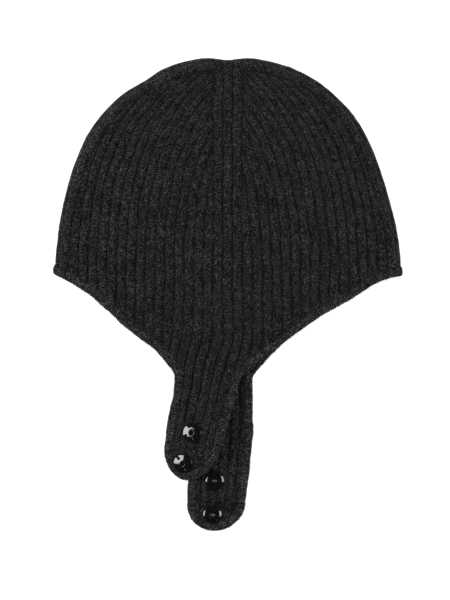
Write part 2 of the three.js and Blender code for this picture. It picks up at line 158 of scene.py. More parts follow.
panel_top = float(crossing(lambda y: fold(np.full_like(y, BAND), y)[0] - BAND, 0.0, CROWN_HEIGHT))
lean_scale = EAR_RIBS * RIB / (panel_top / CROWN_HEIGHT) ** LEAN


def lean(y):
    return lean_scale * (np.maximum(y, 0) / CROWN_HEIGHT) ** LEAN


def flap_share(side, y):
    return (FLAP_TOP - y) / (FLAP_TOP - side_of[side]["end"])


def drift(side, y):
    return side_of[side]["drift"] * along(side_of[side]["drifts"], flap_share(side, y))


def widen(side, y):
    return along(side_of[side]["widths"], flap_share(side, y))


def rim(side, x):
    power = np.where(x < 0, *side_of[side]["rim"])
    share = np.maximum(HALF_WIDTH - np.abs(x), 0) / (HALF_WIDTH - STRAP_HALF)
    fillet = ROOT_DROP * np.exp((STRAP_HALF - np.abs(x)) / ROOT_REACH)
    sway = np.where(x < 0, along(sway_left, share), along(sway_right, share))
    return RIM_CORNER - FLAP_DROP * (share**power - sway) - fillet


strap_root = float(rim(UPPER, np.array(STRAP_HALF)))


def strap_tip(side, x):
    its = side_of[side]
    across = x / STRAP_HALF
    length = STRAP_HALF * its["widths"][-1] * its["tip"]
    return its["end"] + length * (1 - np.sqrt(1 - TIP_ROUND * across**2)) + its["slant"] * x


def strap_lift(x, y):
    """The upper strap arches over the under one, and falls to the surface on its left."""
    past = drift(UNDER, y) - STRAP_HALF * widen(UNDER, y) - EDGING - x
    fall = np.where(past > 0, past, -ARCH * (1 - np.exp(np.minimum(past, 0) / ARCH)))
    free = 1 - smooth(y, strap_root - STRAP_HALF, strap_root + RIB / 2)
    height = STACK - fall * STRAP_FALL * free
    return LEVELLING * np.log1p(np.exp(height / LEVELLING))


def loft(inside, x, y):
    over_rim = smooth(y - rim(UPPER, x), 0, LOFT_REACH)
    spread = np.minimum(inside / LOFT_REACH, 1)
    height = LOFT * np.sin(spread * math.pi / 2) ** LOFT_ROUND * lerp(LOFT_AT_RIM, 1, over_rim)
    for across, up, radius, depth in dents:
        off = np.hypot(x - across * HALF_WIDTH, y - up * HALF_WIDTH) / (radius * HALF_WIDTH)
        height -= LOFT * depth * np.exp(-(off**2)) * spread
    for length, turn, size in waves:
        upward = np.sin(y / length * 2 * math.pi * WAVES_UP + 2 * turn)
        height += size * (np.sin(x / length * 2 * math.pi + turn) * upward) * spread
    return height


def wobble(x, y):
    wave = sum(far * np.sin(y / length + x * slant + turn) for far, length, slant, turn in rib_waves)
    return wave * smooth(fold(x, y)[0], STEADY, WANDERING)


def lay(side, x, y, uneven=1.0):
    """A point of the flat pattern, laid in space: the middle of the cloth."""
    inside, out_x, out_y = fold(x, y)
    turn = np.minimum(inside / ROLL, math.pi / 2)
    flat = ROLL * math.pi / 2
    inward = np.where(inside < flat, inside - flat + ROLL * np.cos(turn), 0)
    near_top = smooth(y, GATHER_FROM * CROWN_HEIGHT, CROWN_HEIGHT)
    gather = GATHER * np.exp(-((x / GATHER_WIDTH) ** 2)) * near_top
    plan_x, plan_y = x + out_x * inward, y + out_y * inward - gather
    up = y / CROWN_HEIGHT
    bulge = np.where(x < 0, along(outline_left, up), along(outline_right, up))
    near_crease = np.exp(-(((y - crease["up"]) / crease["reach"]) ** 2))
    bulge = bulge - np.where(x < 0, crease["depth"], 0) * near_crease
    plan_x = plan_x * (1 + bulge)
    plan_x = plan_x * widen(side, y) + drift(side, y) + uneven * wobble(x, y)
    z = THICK / 2 + ROLL + side * ROLL * np.sin(turn)
    if side == UPPER:
        standing = smooth(y, strap_root, FLAP_TOP + RIB / 2)
        z = lerp(THICK / 2 + strap_lift(plan_x, y), z + loft(np.maximum(inside, 0), x, y), standing)
    return np.stack([plan_x, plan_y, z], -1)


def facing(side, x, y, step=0.05):
    """The cloth's outward normal."""
    across = lay(side, x + step, y) - lay(side, x - step, y)
    up = lay(side, x, y + step) - lay(side, x, y - step)
    normal = np.cross(across, up) * side
    return normal / np.linalg.norm(normal, axis=-1, keepdims=True)


# The mesh follows the ribs: FINE columns to a rib, and rows from the rim to where the rib ends.
FINE = 8
ROWS = 64
STRAP_ROWS = 20
TOP_ROWS = BAND_RIBS * FINE // 2  # across half a band
RIB_END = 3.2  # length over which a rib sinks into the cloth where it ends
FIRST_SHORT, LAST_SHORT = 0.6, 0.8  # how much lower a panel's first and last columns end
LOWEST, LEAN_STEPS = -80, 800  # the table of the ribs' lean starts here and has so many steps
join = np.concatenate
cloth = dict(x=[], y=[], side=[], rib=[], fade=[])
stitched = dict(faces=[], places=[])
count = 0


def knit(side, x, y, rib, fade=1.0):
    """Adds points of the pattern. rib counts ribs from a furrow, and fade is 0 where a rib ends."""
    global count
    x, y, rib, fade = np.broadcast_arrays(x, y, rib, fade)
    for name, values in dict(x=x, y=y, rib=rib, fade=fade, side=np.full(x.shape, side)).items():
        cloth[name].append(values.ravel().astype(float))
    ids = count + np.arange(x.size).reshape(x.shape)
    count += x.size
    return ids


def weave(ids, wale, course, turned):
    """Joins a grid of points with faces. wale and course place the stitches, in millimetres."""
    place = np.stack(np.broadcast_arrays(wale, course), -1)
    this, after = slice(None, -1), slice(1, None)
    corners = [(this, this), (after, this), (after, after), (this, after)]
    if turned:
        corners.reverse()
    stitched["faces"].append(np.stack([ids[c] for c in corners], -1).reshape(-1, 4))
    stitched["places"].append(np.stack([place[c] for c in corners], -2).reshape(-1, 4, 2))


columns = np.arange(PANEL_RIBS * FINE + 1) / FINE
ear_columns = EAR_RIBS * FINE
rib_end = CROWN_HEIGHT * (columns * RIB / lean_scale) ** (1 / LEAN)
against_fold = columns[ear_columns + 1 : -1]
rib_end[ear_columns + 1 : -1] = crossing(
    lambda y: panel_edge(y) - (BAND + against_fold * RIB - lean(y)), 0.0 * against_fold, panel_top
)
rib_end[0] = FIRST_SHORT * rib_end[1]
rib_end[-1] = LAST_SHORT * rib_end[-2]
lean_heights = np.linspace(LOWEST, CROWN_HEIGHT, LEAN_STEPS)
lean_slopes = np.gradient(lean(lean_heights), lean_heights)
lean_arcs = np.cumsum(np.hypot(1, lean_slopes)) * (lean_heights[1] - lean_heights[0])
lean_arcs += lean_heights[0] - lean_arcs[0]


def course_of(wale, y):
    """Courses run square to the ribs."""
    slope = np.interp(y, lean_heights, lean_slopes)
    leaning = slope / np.hypot(1, slope)
    return np.interp(y, lean_heights, lean_arcs) - leaning * (wale - BAND - EAR_RIBS * RIB)


fold_points = {}


def fold_point(key, x, y):
    if key not in fold_points:
        fold_points[key] = int(knit(UPPER, np.array([x]), np.array([y]), 0.5)[0])
    return fold_points[key]


def outward(x, y, inside):
    """The point outside the panel's edge that lies a given distance inside the fold."""
    _, out_x, out_y = fold(x, y)
    far = crossing(lambda s: fold(x + out_x * s, y + out_y * s)[0] - inside, 0 * x, 2 * BAND + 0 * x)
    return x + out_x * far, y + out_y * far


def quarter(side, hand):
    """A panel with the half of the fold band beside it and the part of the strap below it."""
    turned = side * hand < 0
    x0 = BAND + columns * RIB
    on_strap = np.arange(FINE + 1)
    start = rim(side, hand * x0)
    start[on_strap] = strap_root
    left = 1 - np.arange(ROWS + 1) / ROWS  # the rows crowd together towards the ribs' ends
    y = rib_end[:, None] - (rib_end - start)[:, None] * (0.5 * left + 0.5 * left**2)
    x = BAND + columns[:, None] * RIB - lean(y)
    x[-1] = np.where(y[-1] > 0, panel_edge(np.maximum(y[-1], 0)), HALF_WIDTH - BAND)
    x[:1] = BAND
    x[: ear_columns + 1, -1] = BAND
    x[ear_columns + 1 :, -1] = panel_edge(rib_end[ear_columns + 1 :])
    fade = smooth(rib_end[:, None] - y, 0, RIB_END)
    panel = knit(side, hand * x, y, columns[:, None], fade)
    wale = BAND + columns[:, None] * RIB
    weave(panel, hand * wale, course_of(wale, y), turned)

    # the strap, from its rounded end to the flap
    strap_x = hand * x0[on_strap][:, None]
    tips = strap_tip(side, strap_x)
    strap_y = tips + (strap_root - tips) * (np.arange(STRAP_ROWS) / STRAP_ROWS)
    strap = knit(side, strap_x, strap_y, columns[on_strap][:, None])
    strap = join([strap, panel[on_strap, :1]], 1)
    strap_y = join([strap_y, np.full((len(on_strap), 1), strap_root)], 1)
    weave(strap, strap_x, strap_y, turned)

    # the half of the fold band, row by row up the panel's outer edge
    edge, edge_x, edge_y = (join([v[-1], v[ear_columns:-1, -1][::-1]]) for v in (panel, x, y))
    insides = BAND * (1 - np.arange(TOP_ROWS + 1) / TOP_ROWS)
    grid = np.zeros((len(insides), len(edge)), int)
    grid[0] = edge
    rows = []
    for k, inside in enumerate(insides[1:], 1):
        out_x, out_y = outward(edge_x, edge_y, inside)
        low = float(rim(side, np.array(hand * (HALF_WIDTH - inside))))
        body = np.arange(ROWS) / ROWS
        _, shoulder_y = outward(edge_x[ROWS : ROWS + 1], edge_y[ROWS : ROWS + 1], inside)
        out_y[:ROWS] = low + (shoulder_y - low) * body
        nearest = np.zeros(ROWS)
        out_x[:ROWS] = crossing(lambda u: fold(u, out_y[:ROWS])[0] - inside, nearest, 2 * HALF_WIDTH)
        out_x[-1] = edge_x[-1]
        out_y[-1] = crossing(lambda v: fold(edge_x[-1:], v)[0] - inside, edge_y[-1:], CROWN_HEIGHT)[0]
        rows.append((out_x, out_y))
        if inside > 1e-6:
            grid[k] = knit(side, hand * out_x, out_y, inside / RIB + 0.5)
        else:
            grid[k] = [fold_point((hand, r), hand * out_x[r], out_y[r]) for r in range(len(edge))]
    fold_x, fold_y = rows[-1]
    lengths = np.hypot(np.diff(fold_x), np.diff(fold_y))
    course = fold_y[0] + join([[0], np.cumsum(lengths)])
    weave(grid, hand * (HALF_WIDTH - insides[:, None]), course[None, :] + 0 * grid, turned)

    band_side = join([strap[0, :-1], panel[0], panel[1 : ear_columns + 1, -1], grid[1:, -1]])
    band_y = join([strap_y[0, :-1], y[0], rib_end[1 : ear_columns + 1], [r[1][-1] for r in rows]])
    rim_ids = join([grid[1:, 0][::-1], panel[FINE:, 0][::-1], strap[FINE, :-1][::-1]])
    rim_ids = join([rim_ids, strap[1:FINE, 0][::-1]])
    return band_side, band_y, rim_ids


def knit_side(side):
    """One whole side. Gives the open rim in order, down its left and up its right."""
    left, band_y, rim_left = quarter(side, -1)
    right, _, rim_right = quarter(side, 1)
    columns_in = BAND_RIBS * FINE
    grid = np.zeros((columns_in + 1, len(left)), int)
    heights = np.zeros(grid.shape)
    grid[0], grid[-1] = left, right
    heights[0] = heights[-1] = band_y
    insides = BAND * np.arange(TOP_ROWS, -1, -1) / TOP_ROWS
    for k in range(1, columns_in):
        x = BAND * (2 * k / columns_in - 1)
        y = band_y.copy()
        tip = float(strap_tip(side, np.array(x)))
        y[:STRAP_ROWS] = tip + (strap_root - tip) * np.arange(STRAP_ROWS) / STRAP_ROWS
        top = crossing(lambda v: fold(x + 0 * v, v)[0] - insides, 0 * insides, CROWN_HEIGHT)
        y[-TOP_ROWS - 1 :] = top
        heights[k] = y
        grid[k, :-1] = knit(side, x, y[:-1], k / FINE)
        grid[k, -1] = fold_point(("top", k), x, y[-1])
    across = BAND * (2 * np.arange(columns_in + 1) / columns_in - 1)
    weave(grid, across[:, None], heights, side < 0)
    return join([rim_left, grid[:, 0], rim_right[::-1]])


upper_rim = knit_side(UPPER)
under_rim = knit_side(UNDER)
rim_path = join([upper_rim, under_rim[::-1][1:-1]])
cloth = {name: join(values) for name, values in cloth.items()}
faces = join(stitched["faces"])
places = join(stitched["places"])

middle = np.zeros((count, 3))
normal = np.zeros((count, 3))
for side in (UPPER, UNDER):
    here = cloth["side"] == side
    middle[here] = lay(side, cloth["x"][here], cloth["y"][here])
    normal[here] = facing(side, cloth["x"][here], cloth["y"][here])

# Ribs are round ridges with narrow furrows between them, and the inside shows the same the other way.
# On the upper flap they hang straight while the cloth's outline drifts, so it slips by one rib.
SLIP_BEND = 0.12  # how softly the slip comes to its end
SLIP_FILL, SLIP_EDGE = 0.16, 0.2  # furrows fill in a little while they slip
RIDGE_BREADTH, INNER_BREADTH = 0.9, 0.75  # below 1, a ridge is broader than its furrow
UNEVEN = 0.2  # how far a rib's height changes along it
TIP_HEIGHT, TIP_REACH = 0.45, 45  # ribs get this low at a strap's end
SIDE_HEIGHT, SIDE_SPAN = 1.12, (15, 90)  # and this high at the sides
ROOT_SWELL, ROOT_SPAN, FLAP_SPAN = 0.5, 40, 30  # and swell at a strap's root and on the flap
END_DEPTH = 0.8  # of a furrow, where a rib ends
GRAIN = 0.16  # small ups and downs of the cloth
x, y = cloth["x"], cloth["y"]
on_upper = cloth["side"] == UPPER
drifted = np.where(on_upper, -drift(UPPER, y) / RIB, 0)
slip = 1 - SLIP_BEND * np.log1p(np.exp((1 - drifted) / SLIP_BEND))
slip = slip - slip.min()
rib = cloth["rib"] + np.where(x < -BAND, slip, -slip)
blunt = SLIP_FILL * smooth(slip, 0, SLIP_EDGE) * smooth(1 - slip, 0, SLIP_EDGE)
ridge = np.hypot(np.sin(math.pi * rib), blunt) / np.hypot(1, blunt)
rib_out = 2 * ridge**RIDGE_BREADTH - 1
rib_in = 1 - 2 * np.abs(np.cos(math.pi * rib)) ** INNER_BREADTH
uneven = 1 + UNEVEN * np.sin(y / 4.3 + 3 * np.floor(rib)) * np.sin(x / 9 + y / 13)
to_tip = y - np.where(on_upper, side_of[UPPER]["end"], side_of[UNDER]["end"])
uneven = uneven * lerp(TIP_HEIGHT, 1, smooth(to_tip, 0, TIP_REACH))
uneven = uneven * lerp(1.0, SIDE_HEIGHT, smooth(np.abs(x), *SIDE_SPAN))
above_root = smooth(-y, 0, FLAP_SPAN) * smooth(y, strap_root - ROOT_SPAN, strap_root)
uneven = uneven * (1 + ROOT_SWELL * above_root)
rise_out = np.where(rib_out > 0, RIDGE, FURROW) * rib_out * uneven
rise_out = lerp(-END_DEPTH * FURROW, rise_out, cloth["fade"])
rise_out = rise_out + GRAIN * np.sin(x / 2.9 + 1.7 * np.sin(y / 6)) * np.sin(y / 2.3)
rise_in = RIDGE * lerp(0, rib_in, cloth["fade"])
outside = middle + normal * (CLOTH / 2 + rise_out)[:, None]
inside_face = middle + normal * (-CLOTH / 2 + rise_in)[:, None]

# The way out from the rim, where the edging goes. At the sides it turns out along the fold.
FLARE = 0.45
rim_middle, rim_normal = middle[rim_path], normal[rim_path]
ahead = np.roll(rim_middle, -1, 0) - rim_middle
ahead /= np.linalg.norm(ahead, axis=1, keepdims=True)
way = ahead + np.roll(ahead, 1, 0)
rim_out = -np.cross(rim_normal, way)
rim_out /= np.linalg.norm(rim_out, axis=1, keepdims=True)
rim_inside, flare_x, flare_y = fold(x[rim_path], y[rim_path])
flare = FLARE * smooth(-rim_inside, -BAND, 0)
rim_out += np.stack([flare_x * flare, flare_y * flare, 0 * flare], 1)
shift = np.array([FRAME_X, FRAME_Y, 0.0])
MM = 0.001


def place_in_frame(points):
    return (points + shift) * MM


def mark(mesh, name, values):
    """Gives each point of a mesh a number, which a material or a tree reads by its name."""
    mesh.attributes.new(name, "FLOAT", "POINT").data.foreach_set("value", values)


def place_object(name, data):
    """Puts a new object into the scene, at its origin."""
    piece = bpy.data.objects.new(name, data)
    bpy.context.scene.collection.objects.link(piece)
    return piece


def mesh_object(name, points, polygons):
    mesh = bpy.data.meshes.new(name)
    mesh.from_pydata(points.tolist(), [], polygons)
    mesh.polygons.foreach_set("use_smooth", [True] * len(mesh.polygons))
    mesh.update()
    return place_object(name, mesh)


rim_next = np.roll(rim_path, -1)
rim_faces = np.stack([rim_next, rim_path, rim_path + count, rim_next + count], 1)
all_faces = join([faces, faces[:, ::-1] + count, rim_faces]).tolist()
all_places = join([places, places[:, ::-1], np.zeros((len(rim_faces), 4, 2))])
knitted = mesh_object("knitted_body", place_in_frame(join([outside, inside_face])), all_faces)
stitch_map = knitted.data.uv_layers.new(name="stitches")
stitch_map.data.foreach_set("uv", all_places.reshape(-1, 2).ravel() * MM * 100)
# How far each point stands out of its furrow, outside and inside; the rib wool turns this into painted
# shade in the furrows and painted light on the ridges.
depth_out = np.clip((rise_out + FURROW) / (FURROW + RIDGE), 0, 1)
depth_in = 1 - (rib_in * cloth["fade"] + 1) / 2
mark(knitted.data, "painted_rib_shade", join([depth_out, depth_in]))

# Along the outline the cloth gets a painted highlight where the fold turns to the light, most on the left
# shoulder.
FOLD_LIGHT, FOLD_LIGHT_REACH = 0.9, 2.5
SHOULDER_LIGHT, SHOULDER_REACH = 0.8, 6.5
from_fold = fold(x, y)[0]
left_shoulder = smooth(-x, 0, 40) * smooth(y, 10, 60)
fold_light = FOLD_LIGHT * np.exp(-((from_fold / FOLD_LIGHT_REACH) ** 2))
fold_light = fold_light + SHOULDER_LIGHT * left_shoulder * np.exp(-((from_fold / SHOULDER_REACH) ** 2))
mark(knitted.data, "painted_fold_light", join([1 + fold_light, np.ones(count)]))

# Hairs grow on the outside, fewer below and more at the fold, and on the inside of the under strap.
UNDER_HAIRS = 0.35
HAIRS, FOLD_HAIRS, FOLD_REACH = 0.9, 1.2, 5
inner_hairs = 1.0 * (~on_upper & (y < strap_root))
outer_hairs = HAIRS + FOLD_HAIRS * np.exp(-((from_fold / FOLD_REACH) ** 2))
outer_hairs = np.where(on_upper, 1.0, UNDER_HAIRS) * outer_hairs
mark(knitted.data, "hairy", join([outer_hairs, inner_hairs]))


def feed(tree, made, inputs):
    """Sets a node's inputs from plain values, or links them to another node's output."""
    for name, value in inputs.items():
        if isinstance(value, bpy.types.Node):
            value = value.outputs[0]
        if isinstance(value, bpy.types.NodeSocket):
            tree.links.new(value, made.inputs[name])
        else:
            made.inputs[name].default_value = value


def node(tree, kind, inputs=None, **settings):
    made = tree.nodes.new(kind)
    for name, value in settings.items():
        setattr(made, name, value)
    feed(tree, made, inputs or {})
    return made


def node_group(name, kind, sizes, results):
    """A node group and the sockets of its two end nodes. An input has its size, or its kind alone."""
    group = bpy.data.node_groups.new(name, kind)
    for title, size in sizes.items():
        sort = size if isinstance(size, str) else type(size).__name__.title()
        item = group.interface.new_socket(name=title, in_out="INPUT", socket_type="NodeSocket" + sort)
        if size is not sort:
            item.default_value = size
    for title, sort in results.items():
        group.interface.new_socket(name=title, in_out="OUTPUT", socket_type="NodeSocket" + sort)
    return group, node(group, "NodeGroupInput").outputs, node(group, "NodeGroupOutput").inputs


def maths(tree, operation, *values, clamp=False):
    made = node(tree, "ShaderNodeMath", operation=operation, use_clamp=clamp)
    feed(tree, made, dict(enumerate(values)))
    return made.outputs[0]


def ramp(tree, value, low, high, to_low=0.0, to_high=1.0):
    """A value's share of the way from low to high."""
    inputs = {"Value": value, "From Min": low, "From Max": high, "To Min": to_low, "To Max": to_high}
    return node(tree, "ShaderNodeMapRange", inputs).outputs["Result"]


def mix_colour(tree, share, a, b, blend="MIX"):
    made = node(tree, "ShaderNodeMix", data_type="RGBA", blend_type=blend)
    feed(tree, made, {0: share, 6: a, 7: b})
    return made.outputs[2]


def noise(tree, place, scale, detail=2.0, rough=0.5):
    inputs = {"Vector": place, "Scale": scale, "Detail": detail, "Roughness": rough}
    return node(tree, "ShaderNodeTexNoise", inputs).outputs["Fac"]


# Melange yarn: dark fleece with pale fibres spun in, seen as flecks under a millimetre long.
sizes = {
    "Place": "Vector",
    "Dark": "Color",
    "Pale": "Color",
    "Flecks per Metre": 1300.0,
    "Cloudiness": 0.2,
}
results = {"Colour": "Color", "Fibres": "Float"}
melange, given, result = node_group("melange_yarn", "ShaderNodeTree", sizes, results)
place, fineness = given["Place"], given["Flecks per Metre"]
flecks = noise(melange, place, fineness, 1.5, 0.6)
tufts, clouds, fine_hairs = (
    noise(melange, place, maths(melange, "MULTIPLY", fineness, times)) for times in (0.31, 0.07, 2.6)
)
pale_share = maths(melange, "POWER", ramp(melange, flecks, 0.45, 0.7), 1.3)
yarn = mix_colour(melange, pale_share, given["Dark"], given["Pale"])
tufted = mix_colour(melange, 1.0, yarn, ramp(melange, tufts, 0.32, 0.68, 0.5, 1.5), "MULTIPLY")
cloud = ramp(melange, clouds, 0.3, 0.7, -1.0, 1.0)
shade = maths(melange, "MULTIPLY_ADD", cloud, given["Cloudiness"], 1.0)
melange.links.new(mix_colour(melange, 1.0, tufted, shade, "MULTIPLY"), result["Colour"])
melange.links.new(maths(melange, "MULTIPLY_ADD", fine_hairs, 0.5, flecks), result["Fibres"])

# Knitted loops: each wale is a column of V-shaped stitches, two slanting legs to a loop.
sizes = {"Place": "Vector", "Wale": 1.575, "Course": 1.35, "Slope": 0.9}
results = {"Height": "Float", "Gap": "Float"}
loops, given, result = node_group("knitted_loops", "ShaderNodeTree", sizes, results)
stitch_at = node(loops, "ShaderNodeSeparateXYZ", {"Vector": given["Place"]}).outputs
wale_at = maths(loops, "FRACT", maths(loops, "DIVIDE", stitch_at["X"], given["Wale"]))
from_middle = maths(loops, "ABSOLUTE", maths(loops, "SUBTRACT", wale_at, 0.5))
course_at = maths(loops, "DIVIDE", stitch_at["Y"], given["Course"])
slanted = maths(loops, "SUBTRACT", course_at, maths(loops, "MULTIPLY", from_middle, given["Slope"]))
leg_round = maths(loops, "SINE", maths(loops, "MULTIPLY", maths(loops, "FRACT", slanted), math.pi))
leg_across = maths(loops, "SINE", maths(loops, "MULTIPLY", from_middle, 2 * math.pi))
leg_across = maths(loops, "POWER", maths(loops, "MAXIMUM", leg_across, 0.0), 0.5)
leg = maths(loops, "MULTIPLY", maths(loops, "POWER", leg_round, 0.6), leg_across)
loops.links.new(leg, result["Height"])
loops.links.new(maths(loops, "SUBTRACT", 1.0, leg, clamp=True), result["Gap"])

CHARCOAL = (0.0012, 0.0012, 0.0014, 1)
PALE_FIBRE = (0.0495, 0.0495, 0.0535, 1)
LOOP_GAP_SHADE = (0.2, 0.2, 0.22, 1)  # painted shade in the gaps between loops: what it leaves of the colour
UV_TO_MM = 10.0  # the stitch map counts in centimetres
SHAKE = 0.7  # how far a stitch is out of line
FURROW_PAINTED_SHADE, RIDGE_PAINTED_LIGHT = 0.3, 1.12  # painted shade in the furrows and painted light on the ridges, as shares of the yarn's colour


def new_material(name, finish):
    """A material, its tree and its shader's sockets. finish is what holds all over the surface."""
    material = bpy.data.materials.new(name)
    material.use_nodes = True
    shader = material.node_tree.nodes["Principled BSDF"].inputs
    for title, value in finish.items():
        shader[title].default_value = value
    return material, material.node_tree, shader


def emboss(tree, shader, height, strength, depth):
    """Gives the surface its fine relief, depth millimetres deep."""
    inputs = {"Height": height, "Strength": strength, "Distance": depth * MM}
    tree.links.new(node(tree, "ShaderNodeBump", inputs).outputs["Normal"], shader["Normal"])


def marked(tree, name):
    """What the mesh says at each of its points."""
    return node(tree, "ShaderNodeAttribute", attribute_name=name).outputs["Fac"]


def wool(name, pale=PALE_FIBRE, ribbed=False):
    """Charcoal wool, matt. A ribbed mesh says where its stitches lie; it gets painted shade in its furrows
    and between its loops, painted light on its ridges and a painted highlight along its fold.
    """
    finish = {"Roughness": 1.0, "Specular IOR Level": 0.05, "Sheen Weight": 0.02, "Sheen Roughness": 0.45}
    material, tree, shader = new_material(name, finish)
    where = node(tree, "ShaderNodeTexCoord").outputs["Object"]
    inputs = {"Place": where, "Dark": CHARCOAL, "Pale": pale}
    yarn = node(tree, "ShaderNodeGroup", inputs, node_tree=melange).outputs
    colour, height = yarn["Colour"], maths(tree, "MULTIPLY", yarn["Fibres"], 0.4)
    if ribbed:
        flat = node(tree, "ShaderNodeUVMap", uv_map="stitches")
        in_mm = node(tree, "ShaderNodeVectorMath", {0: flat, "Scale": UV_TO_MM}, operation="SCALE")
        uneven = node(tree, "ShaderNodeTexNoise", {"Vector": where, "Scale": 260.0}).outputs["Color"]
        inputs = {0: uneven, 1: (SHAKE, SHAKE, 0.0), 2: in_mm}
        shaken = node(tree, "ShaderNodeVectorMath", inputs, operation="MULTIPLY_ADD")
        loop = node(tree, "ShaderNodeGroup", {"Place": shaken}, node_tree=loops).outputs
        height = maths(tree, "ADD", height, loop["Height"])
        # painted shade in the gaps between the loops
        loop_gap_shade = maths(tree, "MULTIPLY", loop["Gap"], 0.75)
        colour = mix_colour(tree, loop_gap_shade, colour, LOOP_GAP_SHADE, "MULTIPLY")
        # painted shade in the furrows and painted light on the ridges, broken up by noise, then the painted
        # highlight along the fold
        patchy = maths(tree, "MULTIPLY_ADD", noise(tree, where, 420.0), 0.5, marked(tree, "painted_rib_shade"))
        patchy = maths(tree, "MULTIPLY_ADD", noise(tree, where, 130.0, 1.0), 0.9, patchy)
        for tone in (ramp(tree, patchy, 0.7, 1.45, FURROW_PAINTED_SHADE, RIDGE_PAINTED_LIGHT), marked(tree, "painted_fold_light")):
            colour = mix_colour(tree, 1.0, colour, tone, "MULTIPLY")
    tree.links.new(colour, shader["Base Color"])
    emboss(tree, shader, height, 0.9, 0.7)
    return material


knitted.data.materials.append(wool("rib_wool", ribbed=True))
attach(knitted, "root")
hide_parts("knitted_cap")

# The halo: short curled hairs of the lambswool that stand out of the yarn all over the cap,
# held only by the spinning. Too fine to be solids, they are grown on the cloth.
HAIR_CURL = (0.25, 0.42, 0.2)  # the bend's reach and height and the tip's height, for each length
HAIR_LEAN = {0: (-0.5, -0.35, 0.0), 1: (0.5, 0.9, 2 * math.pi)}  # least and most turn
HAIR_SIZE = {2: 0.45, 3: 1.35}  # least and most


def shape_tree(name, sizes):
    """A tree that makes a shape from a start mesh, with its named sizes."""
    shape = {"Geometry": "Geometry"}
    return node_group(name, "GeometryNodeTree", {**shape, **sizes}, shape)


def strand(tree, line, thickness, sides):
    """A round strand along a line, closed at its ends."""
    radius = maths(tree, "MULTIPLY", thickness, 0.5)
    ring = node(tree, "GeometryNodeCurvePrimitiveCircle", {"Resolution": sides, "Radius": radius})
    inputs = {"Curve": line, "Profile Curve": ring, "Fill Caps": True}
    return node(tree, "GeometryNodeCurveToMesh", inputs)


def finish_tree(tree, shape, material, result):
    """Smooths what a tree has made, makes it real and gives it its material."""
    smoothed = node(tree, "GeometryNodeSetShadeSmooth", {"Geometry": shape})
    real = node(tree, "GeometryNodeRealizeInstances", {"Geometry": smoothed})
    dressed = node(tree, "GeometryNodeSetMaterial", {"Geometry": real, "Material": material})
    tree.links.new(dressed.outputs["Geometry"], result["Geometry"])


sizes = {
    "Hairs per Square Metre": 104000.0,
    "Length": 2.6 * MM,
    "Thickness": 0.085 * MM,
    "Seed": 11,
    "Wool": "Material",
}
halo, given, result = shape_tree("wool_halo", sizes)
hairy = node(halo, "GeometryNodeInputNamedAttribute", {"Name": "hairy"}, data_type="FLOAT")
density = maths(halo, "MULTIPLY", given["Hairs per Square Metre"], hairy)
inputs = {"Mesh": given["Geometry"], "Density": density, "Seed": given["Seed"]}
roots = node(halo, "GeometryNodeDistributePointsOnFaces", inputs)
length = given["Length"]
bend_x, bend_z, tip_z = (maths(halo, "MULTIPLY", length, share) for share in HAIR_CURL)
bend = node(halo, "ShaderNodeCombineXYZ", {"X": bend_x, "Z": bend_z})
tip = node(halo, "ShaderNodeCombineXYZ", {"X": length, "Z": tip_z})
inputs = {"Resolution": 4, "Start": (0, 0, 0), "Middle": bend, "End": tip}
curl = node(halo, "GeometryNodeCurveQuadraticBezier", inputs)
hair = strand(halo, curl, given["Thickness"], 3)
inputs = {**HAIR_LEAN, "Seed": given["Seed"]}
any_way = node(halo, "FunctionNodeRandomValue", inputs, data_type="FLOAT_VECTOR")
lean_way = node(halo, "FunctionNodeEulerToRotation", {"Euler": any_way})
inputs = {"Rotation": roots.outputs["Rotation"], "Rotate By": lean_way}
turned = node(halo, "FunctionNodeRotateRotation", inputs, rotation_space="LOCAL")
inputs = {**HAIR_SIZE, "Seed": given["Seed"]}
any_size = node(halo, "FunctionNodeRandomValue", inputs, data_type="FLOAT").outputs[1]
inputs = {"Points": roots, "Instance": hair, "Rotation": turned, "Scale": any_size}
grown_hairs = node(halo, "GeometryNodeInstanceOnPoints", inputs)
real = node(halo, "GeometryNodeRealizeInstances", {"Geometry": grown_hairs})
# no hair reaches below the surface that the hat lies on
at = node(halo, "ShaderNodeSeparateXYZ", {"Vector": node(halo, "GeometryNodeInputPosition")}).outputs
pressed = maths(halo, "MAXIMUM", at["Z"], given["Thickness"])
flattened = node(halo, "ShaderNodeCombineXYZ", {"X": at["X"], "Y": at["Y"], "Z": pressed})
above = node(halo, "GeometryNodeSetPosition", {"Geometry": real, "Position": flattened})
finish_tree(halo, above, given["Wool"], result)


def grow(name, start, tree, **values):
    """Runs a Geometry Nodes tree on a start mesh, and keeps what it makes as a plain mesh."""
    piece = place_object(name, start)
    modifier = piece.modifiers.new(tree.name, "NODES")
    modifier.node_group = tree
    for item in tree.interface.items_tree:
        if item.item_type == "SOCKET" and item.in_out == "INPUT" and item.name in values:
            modifier[item.identifier] = values[item.name]
    bpy.context.view_layer.update()
    evaluated = piece.evaluated_get(bpy.context.evaluated_depsgraph_get())
    grown = bpy.data.meshes.new_from_object(evaluated)
    piece.modifiers.remove(modifier)
    piece.data = grown
    return piece


def loose_hair():
    """Single hairs, dark and pale, a little glossier than the yarn."""
    material, tree, shader = new_material("loose_hair", {"Roughness": 0.6, "Specular IOR Level": 0.3})
    where = node(tree, "ShaderNodeTexCoord").outputs["Object"]
    which = ramp(tree, noise(tree, where, 330.0), 0.42, 0.66)
    colour = mix_colour(tree, which, (0.002, 0.002, 0.0022, 1), (0.085, 0.085, 0.09, 1))
    tree.links.new(colour, shader["Base Color"])
    return material


hair_wool = loose_hair()
fibres = grow("cap_fibres", knitted.data.copy(), halo, Wool=hair_wool)
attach(fibres, "root")

